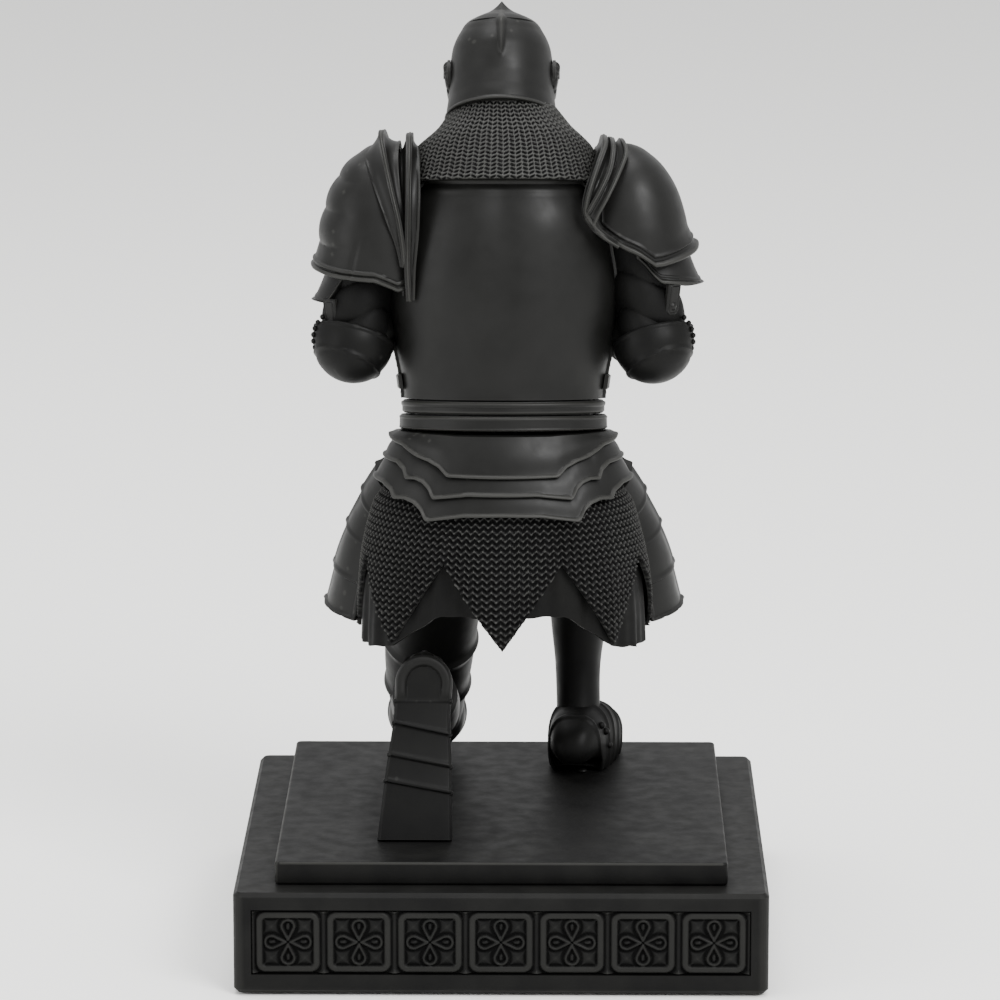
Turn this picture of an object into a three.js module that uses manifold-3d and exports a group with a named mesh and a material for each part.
// Kneeling knight statuette on a two-step plinth. The fists close round an upright bore that holds a pen.
// Millimetres, +Z up. The origin is the middle of the plinth's underside. The knight faces -Y, with its
// left side at +X.
import * as THREE from "three";
import { mergeVertices } from "three/addons/utils/BufferGeometryUtils.js";
import Module from "manifold-3d";

const wasm = await Module();
wasm.setup();

// ----------------------------------------------------------------------------------------------------
// Driving dimensions
// ----------------------------------------------------------------------------------------------------
const CLEAR = 0.3; // gap kept between a piece and what it is cut to fit
const PLATE = 1.2; // thickness of an armour plate
const THIN = 0.9; // thickness of a lame, a belt or the mail

const PAD = { thick: 0.5, inset: 3 }; // foam pad under the plinth
const LOWER = { width: 104, depth: 104, top: 20.75, bevel: 0.8, corner: 1.2 }; // lower tier of the plinth
const UPPER = { insetX: 7.9, insetY: 5.9, height: 4.6, bevel: 0.7, corner: 1 }; // upper tier
const FRIEZE = { margin: 3.8, height: 12.4, middle: 10.9, recess: 1.4, back: 0.6 }; // carved panels
const TILE = { width: 13.7, relief: 0.7, frame: 1.4, sideGap: 0.7, endGap: 0.5, starIn: 1.2, starGap: 0.4 };

const WAIST = { y: 2, z: 105, lean: 9 }; // centre of the waist, and how far the trunk leans forward in degrees
const CHEST = { halfWidth: 21.4, halfDepth: 14.6 };
const HIPS = { halfWidth: 28.3, halfDepth: 18.6 }; // at the hem of the skirts
const PELVIS = { inset: 5, low: 85 }; // inside the skirts: how far in it stays, and its underside
const BELT = { low: -2, high: 1.1, thick: 2.2 }; // heights up the trunk
const BUCKLE = { over: 0.6, thick: 1 }; // how far it stands over the belt's edges
const HEM = { mailTip: 62, mailValley: 79, cloth: 60, clothBack: 68.5 };

const HELM = { x: 0.5, y: -14, z: 170, bow: 28, halfWidth: 10, halfDepth: 12, crown: 16 }; // bow: its tilt
const VISOR = { reach: 13.4, thick: 0.8, lowest: -40, highest: 14, lobe: 3.2, pivot: 1 }; // angles in degrees

const ARM = { shoulderGap: 4, elbowGap: 8.4, radius: 6.4, elbow: 7.8, elbowZ: 121, wrist: 4.2 };
const GRIP = { y: -33.5, bore: 4.6, low: 119.5 }; // the bore through the fists: its place and radius
const FIST = { wall: 3, height: 9.4 }; // flesh and steel round the bore, and the height of one fist
const PAULDRON = { halfWidth: 9.7, halfDepth: 13.4, top: 157.8, hemLeft: 131.6, hemRight: 137.6 };

const LEG = { thigh: 9.2, knee: 8.2, calf: 6.2, ankle: 4.5 };
const SOLE = {
  toeX: 17.2, toeY: 31.2, heelX: 15.5, heelY: 20.4, heelZ: 60.6, toeWidth: 15, heelWidth: 10.4, thick: 1.4,
};
const PEG = { radius: 1.5, length: 7 }; // dowel that pins a foot to the plinth

const UPPER_TOP = LOWER.top + UPPER.height;

// ----------------------------------------------------------------------------------------------------
// Helpers: solids, smooth bodies, plates
// ----------------------------------------------------------------------------------------------------
const rad = THREE.MathUtils.degToRad;
const vec = (x, y, z) => new THREE.Vector3(x, y, z);

/** A three.js geometry as a manifold-3d solid with its faces pointing out. */
function solid(geometry) {
  const bare = (geometry.index ? geometry.toNonIndexed() : geometry.clone());
  for (const name of Object.keys(bare.attributes)) if (name !== "position") bare.deleteAttribute(name);
  const merged = mergeVertices(bare, 1e-4);
  const vertProperties = new Float32Array(merged.attributes.position.array);
  const make = (triVerts) => new wasm.Manifold(new wasm.Mesh({ numProp: 3, vertProperties, triVerts }));
  const faces = new Uint32Array(merged.index.array);
  const made = make(faces);
  return made.volume() < 0 ? make(faces.reverse()) : made;
}

/** A manifold-3d solid as a three.js geometry. */
function geometryOf(body) {
  const mesh = body.getMesh();
  const place = new Float32Array(mesh.numVert * 3);
  for (let i = 0; i < mesh.numVert; i++)
    place.set(mesh.vertProperties.subarray(i * mesh.numProp, i * mesh.numProp + 3), i * 3);
  const geometry = new THREE.BufferGeometry();
  geometry.setAttribute("position", new THREE.BufferAttribute(place, 3));
  geometry.setIndex(new THREE.BufferAttribute(new Uint32Array(mesh.triVerts), 1));
  geometry.computeVertexNormals();
  return geometry;
}

/** The largest connected piece of a solid: a cut can leave slivers. */
function largest(body) {
  return body.decompose().sort((a, b) => b.volume() - a.volume())[0];
}

const cut = (body, ...tools) => largest(tools.reduce((left, tool) => left.subtract(tool), body));
const join = (body, ...others) => others.reduce((all, other) => all.add(other), body);

/** Catmull-Rom value at v (0 to 1) through equally spaced values. */
function smooth(values, v) {
  const s = THREE.MathUtils.clamp(v, 0, 1) * (values.length - 1);
  const i = Math.min(Math.floor(s), values.length - 2);
  const t = s - i;
  const p = (k) => values[THREE.MathUtils.clamp(k, 0, values.length - 1)];
  const [a, b, c, d] = [p(i - 1), p(i), p(i + 1), p(i + 2)];
  return b + 0.5 * t * (c - a + t * (2 * a - 5 * b + 4 * c - d + t * (3 * (b - c) + d - a)));
}

/**
 * A limb is a smooth stack of ovals along a path. Each row is [x, y, z, halfWidth, halfDepth].
 * across is the direction that halfDepth roughly follows, and power squares the oval off (2 is an ellipse).
 * at(degrees, v, lift) is a point on its surface, lifted off it: 0 degrees is the width's side, 90 the depth's.
 */
function limb(rows, across = vec(0, 1, 0), power = 2) {
  const column = (k) => rows.map((row) => row[k]);
  const centre = (v) => vec(smooth(column(0), v), smooth(column(1), v), smooth(column(2), v));
  const along = (v) => centre(Math.min(v + 0.01, 1)).sub(centre(Math.max(v - 0.01, 0))).normalize();
  const squared = (x) => Math.sign(x) * Math.abs(x) ** (2 / power);
  function at(degrees, v, lift = 0) {
    const axis = along(v);
    const wide = vec().crossVectors(across, axis).normalize();
    const deep = vec().crossVectors(axis, wide);
    return centre(v)
      .addScaledVector(wide, (smooth(column(3), v) + lift) * squared(Math.cos(rad(degrees))))
      .addScaledVector(deep, (smooth(column(4), v) + lift) * squared(Math.sin(rad(degrees))));
  }
  return { at, centre, along };
}

/** The share v at which a limb's surface, lifted off it, is at height z on the given angle. */
function shareAt(body, angle, z, lift = 0) {
  let [low, high] = [0, 1];
  for (let k = 0; k < 24; k++) {
    const middle = (low + high) / 2;
    if (body.at(angle, middle, lift).z < z) low = middle;
    else high = middle;
  }
  return low;
}

/** A closed geometry from rings of points, with each end fanned to its middle. */
function capped(rings) {
  const places = [];
  const faces = [];
  const n = rings[0].length;
  rings.flat().forEach((p) => places.push(p.x, p.y, p.z));
  for (let j = 0; j < rings.length - 1; j++)
    for (let i = 0; i < n; i++) {
      const [a, b] = [j * n + i, j * n + ((i + 1) % n)];
      faces.push(a, b, b + n, a, b + n, a + n);
    }
  for (const [j, flip] of [[0, true], [rings.length - 1, false]]) {
    const middle = places.length / 3;
    const mean = rings[j].reduce((sum, p) => sum.add(p), vec(0, 0, 0)).divideScalar(n);
    places.push(mean.x, mean.y, mean.z);
    for (let i = 0; i < n; i++) {
      const [a, b] = [j * n + i, j * n + ((i + 1) % n)];
      faces.push(...(flip ? [middle, b, a] : [middle, a, b]));
    }
  }
  const geometry = new THREE.BufferGeometry();
  geometry.setAttribute("position", new THREE.Float32BufferAttribute(places, 3));
  return geometry.setIndex(faces);
}

/** A limb as a solid, grown by lift on every side. */
function filled(body, { lift = 0, sides = 16, steps = 6, from = 0, to = 1 } = {}) {
  const rings = [];
  for (let j = 0; j <= steps; j++) {
    const v = from + ((to - from) * j) / steps;
    const push = body.along(v).multiplyScalar(j === 0 ? -lift : j === steps ? lift : 0);
    const ring = [];
    for (let i = 0; i < sides; i++) ring.push(body.at((360 * i) / sides, v, lift).add(push));
    rings.push(ring);
  }
  return solid(capped(rings));
}

/**
 * A plate that lies on a limb between two angles, in degrees, and between low and high (v, or a function of the
 * angle that gives v). under is its lift off the limb, a number or a function of the share of its height, and
 * thick its thickness. A span of 360 degrees makes a closed hoop.
 */
function plate(body, options) {
  const { start = 0, end = 360, low = 0, high = 1, under = CLEAR, thick = PLATE, sides = 24, steps = 6 } = options;
  const value = (x, a) => (typeof x === "function" ? x(a) : x);
  const hoop = end - start === 360;
  const columns = hoop ? sides : sides + 1;
  const rings = [];
  for (let i = 0; i < columns; i++) {
    const angle = start + ((end - start) * i) / sides;
    const [bottom, top] = [value(low, angle), value(high, angle)];
    const place = (j, extra) => {
      const share = j / steps;
      return body.at(angle, bottom + (top - bottom) * share, value(under, share) + extra);
    };
    const ring = [];
    for (let j = 0; j <= steps; j++) ring.push(place(j, thick));
    for (let j = steps; j >= 0; j--) ring.push(place(j, 0));
    rings.push(ring);
  }
  return solid(hoop ? wrapped(rings) : stripEnds(rings));
}

/** A geometry with the points of all the rings, one ring after another, and no faces yet. */
function ringPoints(rings) {
  const places = rings.flat().flatMap((p) => [p.x, p.y, p.z]);
  const geometry = new THREE.BufferGeometry();
  return geometry.setAttribute("position", new THREE.Float32BufferAttribute(places, 3));
}

/** Rings joined in a loop, each to the next and the last to the first. */
function wrapped(rings) {
  const n = rings[0].length;
  const faces = [];
  for (let j = 0; j < rings.length; j++)
    for (let i = 0; i < n; i++) {
      const k = (j + 1) % rings.length;
      const [a, b, c, d] = [j * n + i, j * n + ((i + 1) % n), k * n + ((i + 1) % n), k * n + i];
      faces.push(a, b, c, a, c, d);
    }
  return ringPoints(rings).setIndex(faces);
}

/** Rings joined in a row whose two ends are closed across, outer side to inner side. */
function stripEnds(rings) {
  const n = rings[0].length;
  const faces = [];
  for (let j = 0; j < rings.length - 1; j++)
    for (let i = 0; i < n; i++) {
      const [a, b] = [j * n + i, j * n + ((i + 1) % n)];
      faces.push(a, b, b + n, a, b + n, a + n);
    }
  for (const [base, flip] of [[0, true], [(rings.length - 1) * n, false]])
    for (let i = 0; i < n / 2 - 1; i++) {
      const [a, b, c, d] = [base + i, base + i + 1, base + n - 2 - i, base + n - 1 - i];
      faces.push(...(flip ? [a, c, b, a, d, c] : [a, b, c, a, c, d]));
    }
  return ringPoints(rings).setIndex(faces);
}

/** A box with its middle at (x, y, z). */
const block = (wx, wy, wz, x, y, z) => solid(new THREE.BoxGeometry(wx, wy, wz).translate(x, y, z));

/** A round bar between two points. */
function bar(from, to, radius, sides = 16) {
  const run = to.clone().sub(from);
  const turn = new THREE.Quaternion().setFromUnitVectors(vec(0, 1, 0), run.clone().normalize());
  const middle = from.clone().addScaledVector(run, 0.5);
  const geometry = new THREE.CylinderGeometry(radius, radius, run.length(), sides);
  return solid(geometry.applyQuaternion(turn).translate(middle.x, middle.y, middle.z));
}

/** An ellipsoid. */
function egg(centre, rx, ry, rz, sides = 14) {
  const ball = new THREE.SphereGeometry(1, sides, sides / 2).rotateX(Math.PI / 2);
  return solid(ball.scale(rx, ry, rz).translate(centre.x, centre.y, centre.z));
}

/** A slab with rounded upright corners and bevelled top and bottom edges, from z = low to z = high. */
function slab(width, depth, low, high, corner, bevel) {
  const [x, y] = [width / 2 - bevel, depth / 2 - bevel];
  const outline = new THREE.Shape()
    .moveTo(-x + corner, -y)
    .lineTo(x - corner, -y)
    .absarc(x - corner, -y + corner, corner, -Math.PI / 2, 0)
    .lineTo(x, y - corner)
    .absarc(x - corner, y - corner, corner, 0, Math.PI / 2)
    .lineTo(-x + corner, y)
    .absarc(-x + corner, y - corner, corner, Math.PI / 2, Math.PI)
    .lineTo(-x, -y + corner)
    .absarc(-x + corner, -y + corner, corner, Math.PI, 1.5 * Math.PI);
  const made = new THREE.ExtrudeGeometry(outline, {
    depth: high - low - 2 * bevel,
    bevelEnabled: bevel > 0,
    bevelThickness: bevel,
    bevelSize: bevel,
    bevelSegments: 1,
    curveSegments: 3,
  });
  return solid(made.translate(0, 0, low + bevel));
}

/** A solid flipped to the knight's other side. */
const mirrored = (body) => body.mirror([1, 0, 0]);

// ----------------------------------------------------------------------------------------------------
// Materials
// ----------------------------------------------------------------------------------------------------
const finish = (color, roughness, metalness = 0) =>
  new THREE.MeshStandardMaterial({ color, roughness, metalness });
const RESIN = finish(0x262626, 0.5); // satin black cast resin
const PLINTH = finish(0x323230, 0.55); // the plinth's resin, a little greyer
const MAIL = finish(0x2b2b2b, 0.45);
const FOAM = finish(0x1a1a1a, 0.95);
const STEEL = finish(0x8d9094, 0.3, 1); // the dowels under the feet

const knight = new THREE.Group();

/** Adds a solid to the model as a named mesh. */
function add(name, body, material = RESIN) {
  const mesh = new THREE.Mesh(geometryOf(body), material);
  mesh.name = name;
  knight.add(mesh);
  return body;
}

// ----------------------------------------------------------------------------------------------------
// The surfaces that the armour lies on
// ----------------------------------------------------------------------------------------------------
const lean = rad(WAIST.lean);

/** A row of a limb, given in the trunk's own frame: height up the trunk, and how far forward of its axis. */
const trunkRow = (up, halfWidth, halfDepth, forward = 0) => [
  0,
  WAIST.y - up * Math.sin(lean) - forward * Math.cos(lean),
  WAIST.z + up * Math.cos(lean) - forward * Math.sin(lean),
  halfWidth,
  halfDepth,
];
const chestShare = (share) => [CHEST.halfWidth * share, CHEST.halfDepth * share];
const TRUNK_FOOT = -3; // heights up the trunk from the waist
const TRUNK_TOP = 50;
const trunk = limb([
  trunkRow(TRUNK_FOOT, ...chestShare(0.86)),
  trunkRow(5.8, ...chestShare(0.865)),
  trunkRow(14.7, ...chestShare(0.94)),
  trunkRow(23.5, ...chestShare(1)),
  trunkRow(32.3, ...chestShare(1)),
  trunkRow(41.2, ...chestShare(0.93)),
  trunkRow(TRUNK_TOP, ...chestShare(0.66)),
]);
const trunkV = (up) => (up - TRUNK_FOOT) / (TRUNK_TOP - TRUNK_FOOT);

const HIP_TOP = 106;
const HIP_ROWS = 6;
const HIP_FOOT = HEM.cloth - 1;
const hipShare = (wide, deep) => [HIPS.halfWidth * wide, HIPS.halfDepth * deep];
const hips = limb([
  [0, 4, HIP_FOOT, ...hipShare(1.02, 1.03)],
  [0, 4, HIP_FOOT + ((HIP_TOP - HIP_FOOT) * 1) / HIP_ROWS, ...hipShare(1.01, 1.02)],
  [0, 4, HIP_FOOT + ((HIP_TOP - HIP_FOOT) * 2) / HIP_ROWS, ...hipShare(0.99, 0.98)],
  [0, 3.8, HIP_FOOT + ((HIP_TOP - HIP_FOOT) * 3) / HIP_ROWS, ...hipShare(0.94, 0.92)],
  [0, 3.4, HIP_FOOT + ((HIP_TOP - HIP_FOOT) * 4) / HIP_ROWS, ...hipShare(0.855, 0.84)],
  [0, 2.8, HIP_FOOT + ((HIP_TOP - HIP_FOOT) * 5) / HIP_ROWS, ...hipShare(0.735, 0.74)],
  [0, 2, HIP_TOP, ...hipShare(0.65, 0.68)],
]);
const hipV = (z) => (z - HIP_FOOT) / (HIP_TOP - HIP_FOOT);

const bow = rad(HELM.bow);
/** A point in the helmet's frame: sideways, towards the back of the head, and up towards the crown. */
const helmPoint = (side, back, up) =>
  vec(
    HELM.x + side,
    HELM.y + back * Math.cos(bow) - up * Math.sin(bow),
    HELM.z + back * Math.sin(bow) + up * Math.cos(bow),
  );
const helmRow = (up, share, back = 0, deepShare = share) => {
  const p = helmPoint(0, back, up);
  return [p.x, p.y, p.z, HELM.halfWidth * share, HELM.halfDepth * deepShare];
};
const RIM = -8.4; // the helmet's rim, below the visor's pivots
const crownRow = (share, size, back) => helmRow(RIM + (HELM.crown - RIM) * share, size, back);
const helm = limb([
  crownRow(0, 1.07, 0),
  crownRow(1 / 6, 1.05, 0),
  crownRow(2 / 6, 1.01, 0),
  crownRow(3 / 6, 0.93, 0.5),
  crownRow(4 / 6, 0.77, 1.2),
  crownRow(5 / 6, 0.48, 2.2),
  crownRow(1, 0.1, 3.4),
]);

const helmMouth = limb([helmRow(RIM - 4, 1.07), helmRow(RIM + 3 * PLATE, 1.05)]); // the opening at its rim
const headShape = limb([
  helmRow(-6.4, 0.7, -0.6),
  helmRow(-2, 0.8, -0.6),
  helmRow(3, 0.75, 0.2),
  helmRow(8, 0.58, 1.1),
  helmRow(11, 0.34, 1.8),
]);

// ----------------------------------------------------------------------------------------------------
// Plinth
// ----------------------------------------------------------------------------------------------------
const PEG_LEFT = vec(SOLE.toeX, SOLE.toeY - 4, UPPER_TOP);
const PEG_RIGHT = vec(-16.6, -30, UPPER_TOP);

/** The dowel that pins a foot, grown by a clearance. */
function peg(foot, grow = 0) {
  const half = PEG.length / 2 + grow;
  return bar(foot.clone().setZ(foot.z - half), foot.clone().setZ(foot.z + half), PEG.radius + grow, 10);
}

/** A frieze panel: a thin back with square tiles standing off it, each a frame round an eight-pointed star. */
function friezePanel(length) {
  const tiles = Math.floor(length / TILE.width);
  const pitch = length / tiles;
  let panel = block(length, FRIEZE.back, FRIEZE.height, 0, FRIEZE.back / 2, 0);
  const frame = new THREE.Shape();
  const [x, z] = [pitch / 2 - TILE.sideGap, FRIEZE.height / 2 - TILE.endGap];
  frame.moveTo(-x, -z).lineTo(x, -z).lineTo(x, z).lineTo(-x, z).closePath();
  const [hx, hz] = [x - TILE.frame, z - TILE.frame];
  const field = new THREE.Path().moveTo(-hx, -hz).lineTo(-hx, hz).lineTo(hx, hz).lineTo(hx, -hz).closePath();
  frame.holes.push(field);
  const star = new THREE.Shape();
  for (let k = 0; k < 8; k++) {
    const reach = k % 2 ? TILE.starIn : Math.min(hx, hz) - TILE.starGap;
    star[k ? "lineTo" : "moveTo"](reach * Math.cos((k * Math.PI) / 4), reach * Math.sin((k * Math.PI) / 4));
  }
  const sink = 0.1; // how far the relief is let into the back
  const raise = { depth: TILE.relief + sink, bevelEnabled: false };
  for (let k = 0; k < tiles; k++)
    for (const shape of [frame, star]) {
      const relief = new THREE.ExtrudeGeometry(shape, raise).rotateX(Math.PI / 2);
      relief.translate((k - (tiles - 1) / 2) * pitch, FRIEZE.back + TILE.relief, 0);
      panel = panel.add(solid(relief));
    }
  return panel;
}

function buildPlinth() {
  const friezeZ = FRIEZE.middle;
  const sides = [
    ["frieze_back", LOWER.width, LOWER.depth / 2, 0],
    ["frieze_right", LOWER.depth, LOWER.width / 2, 90],
    ["frieze_front", LOWER.width, LOWER.depth / 2, 180],
    ["frieze_left", LOWER.depth, LOWER.width / 2, 270],
  ];
  let lower = slab(LOWER.width, LOWER.depth, PAD.thick, LOWER.top, LOWER.corner, LOWER.bevel);
  for (const [name, width, reach, turn] of sides) {
    const length = width - 2 * FRIEZE.margin;
    const place = (body) => body.rotate([0, 0, turn]);
    const recess = block(
      length + 2 * CLEAR, 2 * FRIEZE.recess, FRIEZE.height + 2 * CLEAR, 0, reach, friezeZ,
    );
    lower = lower.subtract(place(recess));
    const depth = reach - FRIEZE.recess + CLEAR / 2;
    add(name, place(friezePanel(length).translate([0, depth, friezeZ])), PLINTH);
  }
  const upperWidth = LOWER.width - 2 * UPPER.insetX;
  const upperDepth = LOWER.depth - 2 * UPPER.insetY;
  const pegHoles = [peg(PEG_LEFT, CLEAR), peg(PEG_RIGHT, CLEAR)];
  add("plinth_lower", lower, PLINTH);
  const upper = slab(upperWidth, upperDepth, LOWER.top, UPPER_TOP, UPPER.corner, UPPER.bevel);
  add("plinth_upper", cut(upper, ...pegHoles), PLINTH);
  const padSize = (size) => size - 2 * PAD.inset;
  add("base_pad", slab(padSize(LOWER.width), padSize(LOWER.depth), 0, PAD.thick, LOWER.corner, 0), FOAM);
}

// ----------------------------------------------------------------------------------------------------
// Trunk, belt, faulds and skirts
// ----------------------------------------------------------------------------------------------------
/** How far round from the middle of the back an angle is, 0 at the back to 180 at the front. */
const fromBack = (angle) => Math.abs(((angle - 90 + 540) % 360) - 180);

/** Straight runs between [degrees from the back, value] pairs. */
function profile(pairs) {
  return (angle) => {
    const a = fromBack(angle);
    const k = Math.max(1, pairs.findIndex(([at]) => at >= a));
    const [[a0, y0], [a1, y1]] = [pairs[k - 1], pairs[k]];
    return y0 + ((y1 - y0) * (a - a0)) / (a1 - a0);
  };
}

const LAME = { thick: 0.7, flare: 2.1, tuck: 0.3, lap: 2.4 }; // lift off the hips at the hem and at the top
const LAME_HEMS = [
  [[0, 96], [28, 96], [50, 99.8], [90, 101], [150, 98], [180, 95]],
  [[0, 92.4], [30, 91.8], [36, 93.6], [52, 95.6], [90, 97], [150, 94], [180, 91]],
  [[0, 88.6], [32, 87.4], [38, 89.4], [56, 91.4], [90, 93], [150, 90], [180, 87]],
]; // each lame's hem height by degrees from the back

// fine enough that the plates keep off the core where the armholes cut across them
const TRUNK_GRID = { sides: 24, steps: 8 };

function buildTrunk() {
  const pelvis = filled(hips, { lift: -PELVIS.inset, sides: 20, steps: 4, from: hipV(PELVIS.low), to: 1 });
  const thighs = [thighLeft, thighRight].map((body) => filled(body, { lift: CLEAR, steps: 7 }));
  const core = join(filled(trunk, { lift: -2 * CLEAR, ...TRUNK_GRID }), pelvis);
  add("trunk_core", cut(core, neckSeat(), ...thighs));
  const armhole = (angle) => {
    // the plates stop below the arm on each side and run up to the collar in the middle
    const sideways = Math.abs(Math.cos(rad(angle)));
    return trunkV(THREE.MathUtils.lerp(47, 26, THREE.MathUtils.smoothstep(sideways, 0.74, 0.99)));
  };
  const shell = { low: trunkV(3.9), high: armhole, ...TRUNK_GRID };
  add("backplate", plate(trunk, { ...shell, start: 2, end: 178 }));
  add("breastplate", plate(trunk, { ...shell, start: 185, end: 355 }));
  const overPlate = CLEAR + PLATE + CLEAR;
  const strap = { low: trunkV(5.5), high: trunkV(8.5), under: overPlate, thick: THIN, sides: 4, steps: 1 };
  add("side_strap_left", plate(trunk, { ...strap, start: -14, end: 12 }));
  add("side_strap_right", plate(trunk, { ...strap, start: 168, end: 194 }));
  add("waist_band", plate(trunk, { low: trunkV(1.4), high: trunkV(3.6), thick: PLATE + 0.2, steps: 1 }));
  const buckleAngle = { start: 262, end: 278, sides: 3, steps: 1 };
  const belt = { low: trunkV(BELT.low), high: trunkV(BELT.high), thick: BELT.thick, steps: 1 };
  add("sword_belt", plate(trunk, belt));
  const buckleHeight = { low: trunkV(BELT.low - BUCKLE.over), high: trunkV(BELT.high + BUCKLE.over) };
  const onBelt = { under: 2 * CLEAR + BELT.thick, thick: BUCKLE.thick };
  add("belt_buckle", plate(trunk, { ...belt, ...buckleAngle, ...buckleHeight, ...onBelt }));
}

function buildFaulds() {
  const hems = LAME_HEMS.map(profile);
  const beltLow = (angle) => Math.min(...[CLEAR, CLEAR + BELT.thick].map(
    (lift) => trunk.at(angle, trunkV(BELT.low), lift).z,
  ));
  hems.forEach((hem, k) => {
    // the first lame's top stays below the belt, and each other one is tucked under the lame above it
    const top = (angle) => {
      const first = beltLow(angle) - 2 * CLEAR;
      return k ? Math.min(first - CLEAR, hems[k - 1](angle) + LAME.lap) : first;
    };
    const tuck = k ? LAME.tuck : LAME.tuck + LAME.thick + CLEAR;
    add(`fauld_lame_${k + 1}`, plate(hips, {
      low: (angle) => shareAt(hips, angle, hem(angle), LAME.flare),
      high: (angle) => shareAt(hips, angle, top(angle), tuck + LAME.thick),
      under: (share) => THREE.MathUtils.lerp(LAME.flare, tuck, share),
      thick: LAME.thick,
      sides: 28,
      steps: 2,
    }));
  });
}

// the skirts are split at the front for the thighs, and the cloth one lies just inside the mail
const SKIRT = { start: -32, end: 212, dags: 5, mailTop: 90.2, clothTop: 89, clothIn: 1.5, cloth: 1.1 };

/** 0 at a dag's tip and 1 in the notch between two. */
function dagShare(angle) {
  const dag = (SKIRT.end - SKIRT.start) / SKIRT.dags;
  const turn = ((((angle - 90) / dag) % 1) + 1.5) % 1;
  return Math.abs(2 * (turn - 0.5));
}

function buildSkirts() {
  const span = { start: SKIRT.start, end: SKIRT.end, sides: 40, steps: 2 };
  const mailHem = (angle) => THREE.MathUtils.lerp(HEM.mailTip, HEM.mailValley, dagShare(angle));
  const [back, side] = [HEM.clothBack, HEM.cloth];
  const clothHem = profile([[0, back], [28, back], [52, side + 1], [70, side], [180, side]]);
  const downTo = (hem) => (angle) => shareAt(hips, angle, hem(angle));
  const mail = { low: downTo(mailHem), high: hipV(SKIRT.mailTop), under: 0, thick: THIN };
  add("mail_skirt", plate(hips, { ...span, ...mail }), MAIL);
  const cloth = { low: downTo(clothHem), high: hipV(SKIRT.clothTop), under: -SKIRT.clothIn, thick: SKIRT.cloth };
  add("arming_skirt", plate(hips, { ...span, ...cloth }));
}

// ----------------------------------------------------------------------------------------------------
// Head
// ----------------------------------------------------------------------------------------------------
const neck = limb([
  [0, -5, 148, 7.4, 7],
  [0, -8, 156.5, 6.6, 6.2],
  [0.3, -11.6, 166, 5.6, 5.4],
]);
const neckSeat = () => filled(neck, { lift: CLEAR, sides: 14, steps: 3 });

const collar = limb([
  [0, -5.2, 150.6, 20, 15.2],
  [0, -6.2, 155, 19, 14],
  [0, -7.8, 159.6, 16, 12.4],
  [0.3, -10, 164.2, 10.4, 10.2],
]);

function buildHead() {
  const outer = filled(helm, { lift: 0, sides: 20, steps: 7 });
  const inner = filled(helm, { lift: -PLATE, sides: 20, steps: 7, to: 0.93 });
  const mouth = filled(helmMouth, { lift: -PLATE, sides: 20, steps: 1 });
  const opening = block(2 * HELM.halfWidth - 3, 14, 13, 0, 0, 0)
    .rotate([HELM.bow, 0, 0])
    .translate(helmPoint(0, -12.4, -4.4).toArray());
  const comb = limb([
    [...helmPoint(0, 11, 4).toArray(), 0.5, 1],
    [...helmPoint(0, 9.2, 9).toArray(), 0.6, 1.4],
    [...helmPoint(0, 4.6, 14.6).toArray(), 0.8, 1.6],
    [...helmPoint(0, -2, 14).toArray(), 0.6, 1.4],
    [...helmPoint(0, -8, 9.4).toArray(), 0.5, 1],
  ], vec(1, 0, 0));
  const ridged = join(outer, filled(comb, { sides: 6, steps: 6 }));
  const skull = ridged.subtract(inner).subtract(mouth).subtract(opening);
  const pivots = [1, -1].map((side) => pivotPin(side, CLEAR));
  add("helmet_skull", cut(skull, ...pivots));

  const face = filled(headShape, { sides: 16, steps: 6 });
  add("head", join(face, filled(neck, { sides: 14, steps: 3 })));
  const collarPlate = plate(collar, { under: -THIN, thick: THIN, sides: 20, steps: 3 });
  const helmRoom = filled(helm, { lift: CLEAR, sides: 20, steps: 7 });
  add("mail_collar", cut(collarPlate, helmRoom, trunkRoom()), MAIL);
}

function pivotPin(side, grow = 0) {
  const from = helmPoint(side * (HELM.halfWidth - PLATE - 0.05 - grow), 1, VISOR.pivot);
  const to = helmPoint(side * (HELM.halfWidth + 1.6 + grow), 1, VISOR.pivot);
  return bar(from, to, 0.9 + grow, 10);
}

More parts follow.
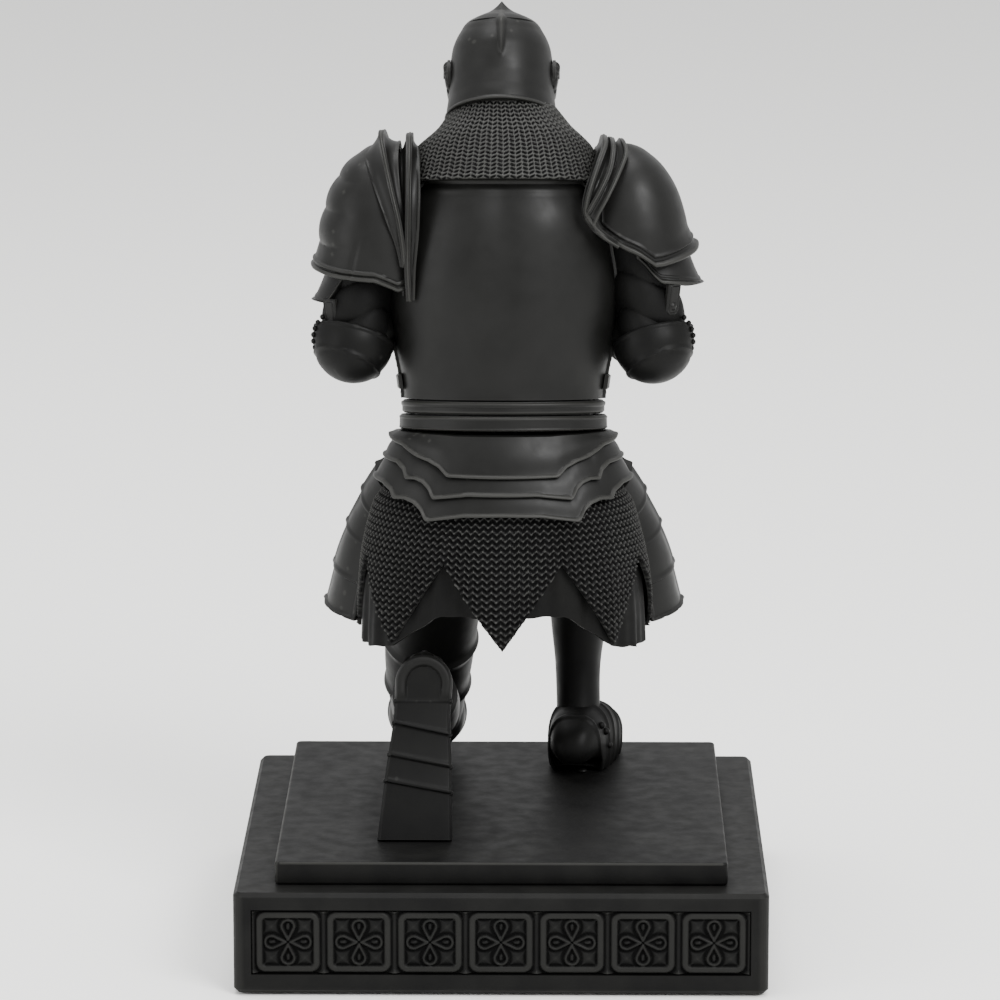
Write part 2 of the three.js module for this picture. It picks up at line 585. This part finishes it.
/** The visor is a patch of a barrel turned about its own pivots, so that it clears the skull as it lifts. */
function buildVisor() {
  const half = HELM.halfWidth + 0.45;
  const barrel = (x, angle, lift) => {
    const r = (VISOR.reach + lift) * Math.sqrt(Math.max(0, 1 - (x / (half + 1.2)) ** 2)) + 0.6;
    return helmPoint(x, 1 - r * Math.cos(rad(angle)), VISOR.pivot + r * Math.sin(rad(angle)));
  };
  const columns = 12;
  const rings = [];
  for (let i = 0; i <= columns; i++) {
    const x = THREE.MathUtils.lerp(-half, half, i / columns);
    const ring = [];
    const steps = 5;
    const angleAt = (j) => THREE.MathUtils.lerp(VISOR.lowest, VISOR.highest, j / steps);
    for (let j = 0; j <= steps; j++) ring.push(barrel(x, angleAt(j), VISOR.thick));
    for (let j = steps; j >= 0; j--) ring.push(barrel(x, angleAt(j), 0));
    rings.push(ring);
  }
  const mask = solid(stripEnds(rings));
  const arm = (side) => {
    const near = helmPoint(side * half, 1, VISOR.pivot);
    const far = helmPoint(side * (half + VISOR.thick), 1, VISOR.pivot);
    const lobe = bar(near, far, VISOR.lobe, 16);
    const link = block(VISOR.thick, 7, 2 * VISOR.lobe - 1, 0, 0, 0)
      .rotate([HELM.bow, 0, 0])
      .translate(helmPoint(side * (half + VISOR.thick / 2), -2.5, VISOR.pivot - 0.6).toArray());
    return lobe.add(link);
  };
  const pivots = [1, -1].map((side) => pivotPin(side, CLEAR));
  const skullRoom = filled(helm, { lift: CLEAR, sides: 20, steps: 7 });
  add("visor", cut(join(mask, arm(1), arm(-1)), skullRoom, ...pivots));
  add("visor_pivot_left", pivotPin(1));
  add("visor_pivot_right", pivotPin(-1));
}

// ----------------------------------------------------------------------------------------------------
// Arms, for the knight's left; the right ones are mirrored
// ----------------------------------------------------------------------------------------------------
const SHOULDER = vec(CHEST.halfWidth + ARM.shoulderGap, -5.5, 149);
const ELBOW = vec(CHEST.halfWidth + ARM.elbowGap, 2.5, ARM.elbowZ);

/** The underside of a fist: the left one sits on the right one. */
const fistLow = (left) => GRIP.low + (left ? FIST.height + CLEAR : 0);

function armParts(left) {
  const fistMiddle = fistLow(left) + FIST.height / 2;
  const outer = GRIP.bore + FIST.wall;
  const wrist = vec(outer + 2, GRIP.y + 7.5, fistMiddle);
  const upper = limb([
    [...SHOULDER.toArray(), ARM.radius + 0.4, ARM.radius + 1],
    [...SHOULDER.clone().lerp(ELBOW, 0.5).toArray(), ARM.radius + 0.4, ARM.radius + 1],
    [...ELBOW.toArray(), ARM.radius, ARM.radius],
  ]);
  const fore = limb([
    [...ELBOW.clone().lerp(wrist, 0.08).toArray(), ARM.radius - 0.4, ARM.radius - 0.4],
    [...ELBOW.clone().lerp(wrist, 0.5).toArray(), ARM.radius - 0.8, ARM.radius - 0.8],
    [...wrist.toArray(), ARM.wrist, ARM.wrist],
  ], vec(0, 0, 1));
  const cuffFrom = ELBOW.clone().lerp(wrist, 0.62);
  const cuff = limb([
    [...cuffFrom.toArray(), ARM.wrist + 2.4, ARM.wrist + 2.4],
    [...cuffFrom.clone().lerp(wrist, 0.6).toArray(), ARM.wrist + 1.2, ARM.wrist + 1.2],
    [...wrist.toArray(), ARM.wrist + 0.5, ARM.wrist + 0.5],
  ], vec(0, 0, 1));
  const half = FIST.height / 2;
  const palm = limb([
    [...wrist.toArray(), ARM.wrist, half],
    [outer - 2, GRIP.y + 5, fistMiddle, ARM.wrist, half],
    [1, GRIP.y + 2, fistMiddle, ARM.wrist - 0.4, half - 0.4],
  ], vec(0, 0, 1));
  const fist = limb([
    [0, GRIP.y, fistLow(left), outer, outer - 0.6],
    [0, GRIP.y, fistMiddle, outer + 0.3, outer - 0.2],
    [0, GRIP.y, fistLow(left) + FIST.height, outer, outer - 0.6],
  ]);
  return { upper, fore, cuff, palm, fist };
}

const trunkRoom = () => filled(trunk, { lift: PLATE + 3 * CLEAR, sides: 20, steps: 6 });
const couterRoom = () => egg(ELBOW, ARM.elbow + CLEAR, ARM.elbow + 1 + CLEAR, ARM.elbow + CLEAR);

function buildArm(left) {
  const side = left ? "left" : "right";
  const flip = left ? (body) => body : mirrored;
  const { upper, fore, cuff, palm, fist } = armParts(left);
  const bodyRoom = trunkRoom();
  const elbowRoom = couterRoom();
  const foreRoom = filled(fore, { lift: CLEAR, sides: 14, steps: 5 });
  const sleeveRoom = filled(upper, { lift: CLEAR, sides: 14, steps: 5 });
  add(`sleeve_${side}`, flip(cut(filled(upper, { sides: 14, steps: 5 }), bodyRoom, elbowRoom)));
  add(`couter_${side}`, flip(cut(egg(ELBOW, ARM.elbow, ARM.elbow + 1, ARM.elbow), bodyRoom)));
  const vambrace = cut(filled(fore, { sides: 14, steps: 5 }), bodyRoom, elbowRoom, sleeveRoom);
  add(`vambrace_${side}`, flip(vambrace));
  const hand = join(
    filled(cuff, { sides: 14, steps: 3 }),
    filled(palm, { sides: 12, steps: 3 }),
    filled(fist, { sides: 16, steps: 2 }),
  );
  const [low, high] = [fistLow(left), fistLow(left) + FIST.height];
  const bore = bar(vec(0, GRIP.y, low - 1), vec(0, GRIP.y, high + 1), GRIP.bore, 16);
  // the other fist keeps its own half of the height
  const tall = 3 * FIST.height;
  const wide = 4 * (GRIP.bore + FIST.wall);
  const otherZ = left ? low - tall / 2 : high + tall / 2;
  const otherFist = block(wide / 2 + 5, wide, tall, 0, GRIP.y, otherZ);
  add(`gauntlet_${side}`, flip(cut(hand, foreRoom, bodyRoom, bore, otherFist)));
}

/** The shoulder cap, as ovals from the top of the shoulder down to its hem. */
function shoulderCap(hem) {
  const x = SHOULDER.x;
  const drop = PAULDRON.top - hem;
  const row = (share, out, y, wide, deep) => [
    x + out, y, PAULDRON.top - drop * share, PAULDRON.halfWidth * wide, PAULDRON.halfDepth * deep,
  ];
  return limb([
    row(1, 1.6, -3.6, 1, 0.98),
    row(0.75, 0.9, -4.4, 0.94, 1),
    row(0.5, 0, -5.2, 0.84, 0.94),
    row(0.25, -1.2, -6, 0.64, 0.76),
    row(0, -2.4, -6.8, 0.28, 0.36),
  ], vec(0, 1, 0), 2.3);
}

function buildPauldron(left) {
  const side = left ? "left" : "right";
  const flip = left ? (body) => body : mirrored;
  const hem = left ? PAULDRON.hemLeft : PAULDRON.hemRight;
  const cap = shoulderCap(hem);
  const bodyRoom = trunkRoom();
  const collarRoom = filled(collar, { lift: CLEAR, sides: 24, steps: 5 });
  const { upper, fore, cuff } = armParts(left);
  const sleeveRoom = filled(upper, { lift: CLEAR, sides: 14, steps: 5 });
  const foreRoom = filled(fore, { lift: CLEAR, sides: 14, steps: 5 });
  const cuffRoom = filled(cuff, { lift: CLEAR, sides: 14, steps: 3 });
  const wing = { start: -134, end: 134, under: 0, thick: PLATE, sides: 18, steps: 5 };
  const main = cut(plate(cap, wing), bodyRoom, collarRoom, sleeveRoom, foreRoom, cuffRoom);
  add(`pauldron_${side}`, flip(main));
  // the guard is a ribbon that runs over the shoulder along the cap's inner edge
  const guardX = CHEST.halfWidth - 2;
  const guard = limb([
    [guardX - 0.6, 7.6, hem + 1.5, 1.2, 0.7],
    [guardX - 0.2, 8, hem + (PAULDRON.top - hem) * 0.5, 1.3, 0.8],
    [guardX, 2, PAULDRON.top - 2.4, 1.4, 0.8],
    [guardX, -7, PAULDRON.top + 0.6, 1.4, 0.8],
    [guardX, -16, PAULDRON.top - 4, 1.3, 0.8],
    [guardX - 0.4, -20.4, PAULDRON.top - 15, 1.1, 0.7],
  ], vec(1, 0, 0));
  const capRoom = plate(cap, { ...wing, under: -CLEAR, thick: PLATE + 2 * CLEAR, start: -136, end: 136 });
  const standing = cut(filled(guard, { sides: 6, steps: 10 }), bodyRoom, collarRoom, capRoom);
  add(`pauldron_guard_${side}`, flip(standing));
  // the lower lame hangs under the cap's hem on the outside of the arm
  const lameTop = hem + 1.4;
  const lame = limb([
    [SHOULDER.x + 2.6, -3.4, lameTop - 8.4, 10, 9.6],
    [SHOULDER.x + 2.2, -3.8, lameTop - 4.2, 8.9, 9.2],
    [SHOULDER.x + 1.8, -4.2, lameTop, 8, 8.8],
  ], vec(0, 1, 0), 2.2);
  const lamePlate = plate(lame, { start: -80, end: 66, under: 0, thick: THIN, sides: 12, steps: 3 });
  add(`pauldron_lame_${side}`, flip(cut(lamePlate, capRoom, sleeveRoom, couterRoom())));
}

// ----------------------------------------------------------------------------------------------------
// Legs
// ----------------------------------------------------------------------------------------------------
const KNEE_LEFT = vec(16.2, -34, UPPER_TOP + LEG.knee + 1);
const KNEE_RIGHT = vec(-17, -42.6, 75.5);
const ANKLE_LEFT = vec(15.6, 13, 51);
const ANKLE_RIGHT = vec(-15.4, -27, UPPER_TOP + 9.5);

const thighLeft = limb([
  [12, 2, 82, LEG.thigh, LEG.thigh],
  [14, -10, 66, LEG.thigh + 0.3, LEG.thigh],
  [15.6, -23, 49, LEG.thigh - 0.2, LEG.thigh - 0.6],
  [...KNEE_LEFT.toArray(), LEG.knee - 1, LEG.knee - 1],
]);
const thighRight = limb([
  [-12, 3, 82, LEG.thigh, LEG.thigh],
  [-13, -12, 80.5, LEG.thigh, LEG.thigh],
  [-15, -28, 78, LEG.thigh - 0.6, LEG.thigh - 0.6],
  [...KNEE_RIGHT.toArray(), LEG.knee - 1, LEG.knee - 1],
], vec(0, 0, 1));
const shinLeft = limb([
  [...KNEE_LEFT.toArray(), LEG.calf, LEG.calf],
  [16, -18, 39.5, LEG.calf, LEG.calf],
  [15.8, -3, 45, LEG.calf - 0.6, LEG.calf - 0.6],
  [...ANKLE_LEFT.toArray(), LEG.ankle, LEG.ankle],
], vec(0, 0, 1));
const shinRight = limb([
  [...ANKLE_RIGHT.toArray(), LEG.ankle, LEG.ankle + 0.4],
  [-15.2, -31, 46, LEG.ankle + 0.2, LEG.ankle + 1],
  [-15.6, -35, 59, LEG.calf, LEG.calf + 0.4],
  [...KNEE_RIGHT.toArray(), LEG.knee - 2, LEG.knee - 2],
]);

/** The kneeling foot stands on its toes: the sole faces back. Rows run from the toe up to the heel. */
function kneelingFoot() {
  const rise = SOLE.heelZ - UPPER_TOP;
  const spot = (share) => [SOLE.toeY + (SOLE.heelY - SOLE.toeY) * share, UPPER_TOP + rise * share];
  const row = (share, width, depth) => {
    const [y, z] = spot(share);
    const x = SOLE.toeX + (SOLE.heelX - SOLE.toeX) * share;
    return [x, y - depth / 2 - SOLE.thick - CLEAR, z, width / 2, depth / 2];
  };
  return limb([
    row(0, SOLE.toeWidth - 0.6, 6),
    row(0.34, SOLE.toeWidth - 1.4, 8),
    row(0.67, SOLE.heelWidth + 2, 10.5),
    row(0.97, SOLE.heelWidth - 1, 8),
  ], vec(0, 1, 0), 2.6);
}

/** The sole plate of the kneeling foot, as an outline laid against it. */
function solePlate() {
  const length = Math.hypot(SOLE.heelZ - UPPER_TOP, SOLE.toeY - SOLE.heelY);
  const [toe, heel] = [SOLE.toeWidth / 2, SOLE.heelWidth / 2];
  const round = length - heel;
  const skew = SOLE.heelX - SOLE.toeX;
  const outline = new THREE.Shape()
    .moveTo(-toe, CLEAR)
    .lineTo(toe, CLEAR)
    .lineTo(skew + heel, round)
    .absarc(skew, round, heel, 0, Math.PI)
    .closePath();
  const raise = { depth: SOLE.thick, bevelEnabled: false, curveSegments: 8 };
  const made = new THREE.ExtrudeGeometry(outline, raise);
  const tilt = Math.atan2(SOLE.toeY - SOLE.heelY, SOLE.heelZ - UPPER_TOP);
  made.rotateX(Math.PI / 2 + tilt).translate(0, SOLE.toeY, UPPER_TOP);
  return solid(made.translate(SOLE.toeX, 0, 0));
}

function buildLegs() {
  const room = (body, options) => filled(body, { lift: CLEAR, sides: 16, ...options });
  const kneeBall = (knee, grow = 0) => egg(knee, LEG.knee + grow, LEG.knee + 0.6 + grow, LEG.knee + grow);
  const floor = block(200, 200, 60, 0, 0, UPPER_TOP + CLEAR / 2 - 30);
  const coreRoom = filled(trunk, { lift: CLEAR, sides: 20, steps: 6 });
  const lameReach = LAME.flare + LAME.thick + CLEAR;
  const lameRoom = plate(hips, { low: hipV(84), high: 1, under: 0, thick: lameReach, sides: 28, steps: 4 });
  const skirtSpan = { start: SKIRT.start - 3, end: SKIRT.end + 3, low: -0.05, high: hipV(SKIRT.mailTop + 1.3) };
  const skirtWall = { under: -SKIRT.clothIn - CLEAR, thick: SKIRT.clothIn + THIN + 2 * CLEAR, sides: 40, steps: 2 };
  const skirtRoom = plate(hips, { ...skirtSpan, ...skirtWall });

  const foot = cut(filled(kneelingFoot(), { sides: 16, steps: 6 }), floor, peg(PEG_LEFT, CLEAR));
  add("sabaton_left", foot);
  add("sole_plate_left", cut(solePlate(), floor, peg(PEG_LEFT, CLEAR)));
  const footRoom = filled(kneelingFoot(), { lift: CLEAR, sides: 16, steps: 6 });

  const hipRooms = [coreRoom, skirtRoom, lameRoom];
  const leftKneeRoom = kneeBall(KNEE_LEFT, CLEAR);
  const rightKneeRoom = kneeBall(KNEE_RIGHT, CLEAR);
  add("cuisse_left", cut(filled(thighLeft, { sides: 16, steps: 7 }), leftKneeRoom, ...hipRooms));
  add("poleyn_left", cut(kneeBall(KNEE_LEFT), floor));
  const thighRoom = room(thighLeft, { steps: 7 });
  const leftShin = filled(shinLeft, { sides: 14, steps: 6 });
  add("greave_left", cut(leftShin, thighRoom, leftKneeRoom, footRoom, skirtRoom));

  const rightThigh = filled(thighRight, { sides: 16, steps: 7 });
  const leftHip = room(thighLeft, { steps: 7 });
  add("cuisse_right", cut(rightThigh, rightKneeRoom, ...hipRooms, leftHip));
  add("poleyn_right", kneeBall(KNEE_RIGHT));
  const rightShin = filled(shinRight, { sides: 14, steps: 6 });
  add("greave_right", cut(rightShin, rightKneeRoom, room(thighRight, { steps: 7 }), floor));
  const shinRoom = room(shinRight, { sides: 14, steps: 6 });
  add("sabaton_right", cut(flatFoot(), shinRoom, floor, peg(PEG_RIGHT, CLEAR)));
  add("foot_peg_left", peg(PEG_LEFT), STEEL);
  add("foot_peg_right", peg(PEG_RIGHT), STEEL);
}

/** The flat foot, from the heel to the pointed toe, turned outwards. */
function flatFoot() {
  const toe = vec(-19.6, -50, UPPER_TOP);
  const heel = vec(-15, -22.4, UPPER_TOP);
  const row = (share, width, height) => {
    const p = heel.clone().lerp(toe, share);
    return [p.x, p.y, p.z + height / 2 + CLEAR / 2, width / 2, height / 2];
  };
  return filled(limb([
    row(-0.04, 6, 8),
    row(0.06, 10.2, 11),
    row(0.3, 11.4, 12.5),
    row(0.55, 12.4, 9),
    row(0.8, 10.4, 6.4),
    row(1, 3.4, 3.4),
  ], vec(0, 0, 1), 2.4), { sides: 16, steps: 9 });
}

function buildTassets() {
  for (const left of [true, false]) {
    const tasset = limb([
      [23.2, -9.4, 66, 11.8, 11.5],
      [21.4, -8.4, 75, 10.6, 10.8],
      [19.2, -6.6, 84, 9, 9.8],
      [17.6, -4, 91, 7.4, 8.6],
    ]);
    const hipRoom = filled(hips, { lift: 3.1, sides: 36, steps: 8 });
    const rooms = [thighLeft, thighRight].map((body, k) => {
      const space = filled(body, { lift: CLEAR, sides: 16, steps: 7 });
      return k ? mirrored(space) : space;
    });
    const made = plate(tasset, { start: -78, end: 48, under: 0, thick: THIN, sides: 10, steps: 4 });
    const side = left ? "left" : "right";
    add(`tasset_${side}`, (left ? (b) => b : mirrored)(cut(made, hipRoom, rooms[left ? 0 : 1])));
  }
}

buildPlinth();
buildTrunk();
buildFaulds();
buildSkirts();
buildHead();
buildVisor();
for (const left of [true, false]) {
  buildArm(left);
  buildPauldron(left);
}
buildLegs();
buildTassets();

export default knight;
